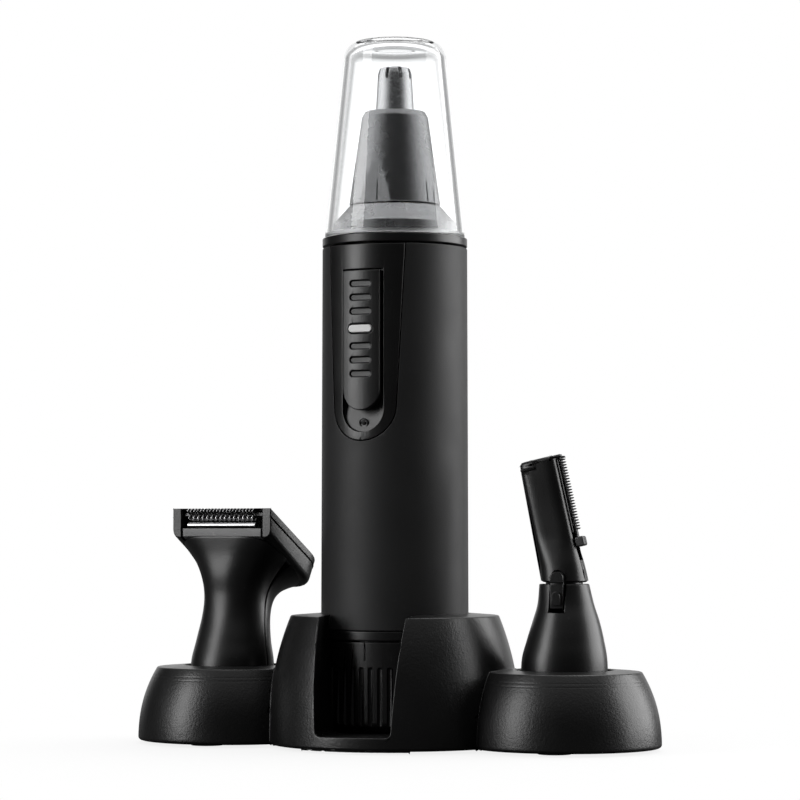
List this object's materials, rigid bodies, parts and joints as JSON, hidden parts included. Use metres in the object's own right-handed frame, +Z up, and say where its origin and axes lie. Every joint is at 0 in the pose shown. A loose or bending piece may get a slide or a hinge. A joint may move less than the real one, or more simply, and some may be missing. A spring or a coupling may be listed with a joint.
{
  "type": "nose hair trimmer",
  "caption": "Round battery nose trimmer with clear dust cover and sliding switch, standing in a three-well stand with a shaver head and a brow head.",
  "frame": {"origin": "on the table under the middle of the stand", "axes": "+Z up along the handle, -Y to the front where the stand's window is, +X towards the brow head's pod"},
  "size_m": [0.1076, 0.05, 0.14],
  "materials": {
    "stand_black": "fine textured moulded plastic",
    "satin_black": "satin moulded plastic",
    "soft_black": "soft-touch coating",
    "smoked_plastic": "smoked, pearl lacquered plastic",
    "grey_plastic": "satin moulded plastic",
    "white_plastic": "smooth",
    "foot_rubber": "matte",
    "blade_steel": "fine ground",
    "bush_brass": "turned",
    "contact_copper": "pressed sheet",
    "cell_wrap": "shrink wrap",
    "clear_cover": "polished clear plastic"
  },
  "bodies": {
    "stand": {"stand_shell": "stand_black", "stand_base_plate": "stand_black", "foot_right_rear": "foot_rubber", "foot_left_rear": "foot_rubber", "foot_right_front": "foot_rubber", "foot_left_front": "foot_rubber", "stand_screw_right": "blade_steel", "stand_screw_left": "blade_steel", "stand_screw_rear": "blade_steel"},
    "handle": {"barrel": "soft_black", "collar": "satin_black", "switch_panel": "satin_black", "base_ring": "satin_black", "cap_seal": "foot_rubber", "battery_sleeve": "satin_black", "battery_cell": "cell_wrap", "positive_contact": "contact_copper", "motor_carrier": "satin_black", "motor_can": "blade_steel", "motor_end_cap": "white_plastic", "switch_contact": "contact_copper"},
    "switch": {"switch_slider": "satin_black", "switch_mark": "white_plastic"},
    "battery_cap": {"battery_cap": "satin_black", "cap_contact_plate": "contact_copper", "cap_contact_spring": "blade_steel"},
    "rotor": {"motor_shaft": "blade_steel", "drive_coupler": "grey_plastic"},
    "lock_ring": {"lock_sleeve": "grey_plastic"},
    "nose_head": {"nose_head_base": "smoked_plastic", "nose_head_cone": "smoked_plastic", "outer_cutter": "blade_steel", "spindle_bush": "bush_brass"},
    "nose_cutter": {"cutter_spindle": "grey_plastic", "inner_cutter": "blade_steel", "cutter_spring": "blade_steel"},
    "dust_cover": {"dust_cover": "clear_cover"},
    "shaver_head": {"shaver_neck_front": "satin_black", "shaver_neck_rear": "satin_black", "shaver_frame": "satin_black", "shaver_comb": "blade_steel", "shaver_blade_holder": "grey_plastic", "shaver_guard_bar": "blade_steel", "shaver_bush": "bush_brass", "shaver_plug": "satin_black"},
    "shaver_blade": {"shaver_moving_blade": "blade_steel", "shaver_blade_carrier": "grey_plastic"},
    "shaver_spindle": {"shaver_spindle": "grey_plastic"},
    "brow_head": {"brow_base": "satin_black", "brow_arm_front": "satin_black", "brow_arm_rear": "satin_black", "brow_fixed_blade": "blade_steel", "brow_bush": "bush_brass", "brow_plug": "satin_black"},
    "brow_blade": {"brow_moving_blade": "blade_steel", "brow_lever": "grey_plastic"},
    "brow_spindle": {"brow_spindle": "grey_plastic"},
    "brow_comb": {"brow_comb": "grey_plastic"},
    "brow_latch": {"brow_latch": "satin_black"}
  },
  "joints": [
    {"name": "handle_lift", "type": "slide", "parent": "stand", "child": "handle", "axis": [0, 0, 1], "range_m": [0, 0.035]},
    {"name": "switch_slide", "type": "slide", "parent": "handle", "child": "switch", "axis": [0, 0, -1], "range_m": [0, 0.0038]},
    {"name": "cap_twist", "type": "hinge", "parent": "handle", "child": "battery_cap", "pos_m": [0, 0, 0.0035], "axis": [0, 0, 1], "range_deg": [-30, 0]},
    {"name": "rotor_spin", "type": "hinge", "parent": "handle", "child": "rotor", "pos_m": [0, 0, 0.09], "axis": [0, 0, 1], "continuous": true},
    {"name": "nose_twist", "type": "hinge", "parent": "handle", "child": "lock_ring", "pos_m": [0, 0, 0.097], "axis": [0, 0, 1], "range_deg": [-30, 0]},
    {"name": "nose_head_lift", "type": "slide", "parent": "lock_ring", "child": "nose_head", "axis": [0, 0, 1], "range_m": [0, 0.03]},
    {"name": "nose_cutter_spin", "type": "hinge", "parent": "nose_head", "child": "nose_cutter", "pos_m": [0, 0, 0.12], "axis": [0, 0, 1], "continuous": true},
    {"name": "dust_cover_pull", "type": "slide", "parent": "nose_head", "child": "dust_cover", "axis": [0, 0, 1], "range_m": [0, 0.045]},
    {"name": "shaver_head_lift", "type": "slide", "parent": "stand", "child": "shaver_head", "axis": [0, 0, 1], "range_m": [0, 0.02]},
    {"name": "shaver_blade_slide", "type": "slide", "parent": "shaver_head", "child": "shaver_blade", "axis": [0.9848, -0.1736, 0], "range_m": [-0.0006, 0.0006]},
    {"name": "shaver_spindle_spin", "type": "hinge", "parent": "shaver_head", "child": "shaver_spindle", "pos_m": [-0.035, 0, 0.02], "axis": [0, 0, 1], "continuous": true},
    {"name": "brow_head_lift", "type": "slide", "parent": "stand", "child": "brow_head", "axis": [0, 0, 1], "range_m": [0, 0.02]},
    {"name": "brow_blade_slide", "type": "slide", "parent": "brow_head", "child": "brow_blade", "axis": [-0.2215, 0, 0.9751], "range_m": [-0.0006, 0.0006]},
    {"name": "brow_spindle_spin", "type": "hinge", "parent": "brow_head", "child": "brow_spindle", "pos_m": [0.035, 0, 0.02], "axis": [0, 0, 1], "continuous": true},
    {"name": "brow_comb_pull", "type": "slide", "parent": "brow_head", "child": "brow_comb", "axis": [0.9751, 0, 0.2215], "range_m": [0, 0.008]},
    {"name": "brow_latch_press", "type": "slide", "parent": "brow_head", "child": "brow_latch", "axis": [0, 1, 0], "range_m": [0, 0.0005], "stiffness_N_per_m": 800}
  ],
  "couplings": [
    {"joint": "nose_cutter_spin", "follows": "rotor_spin", "ratio": 1}
  ]
}
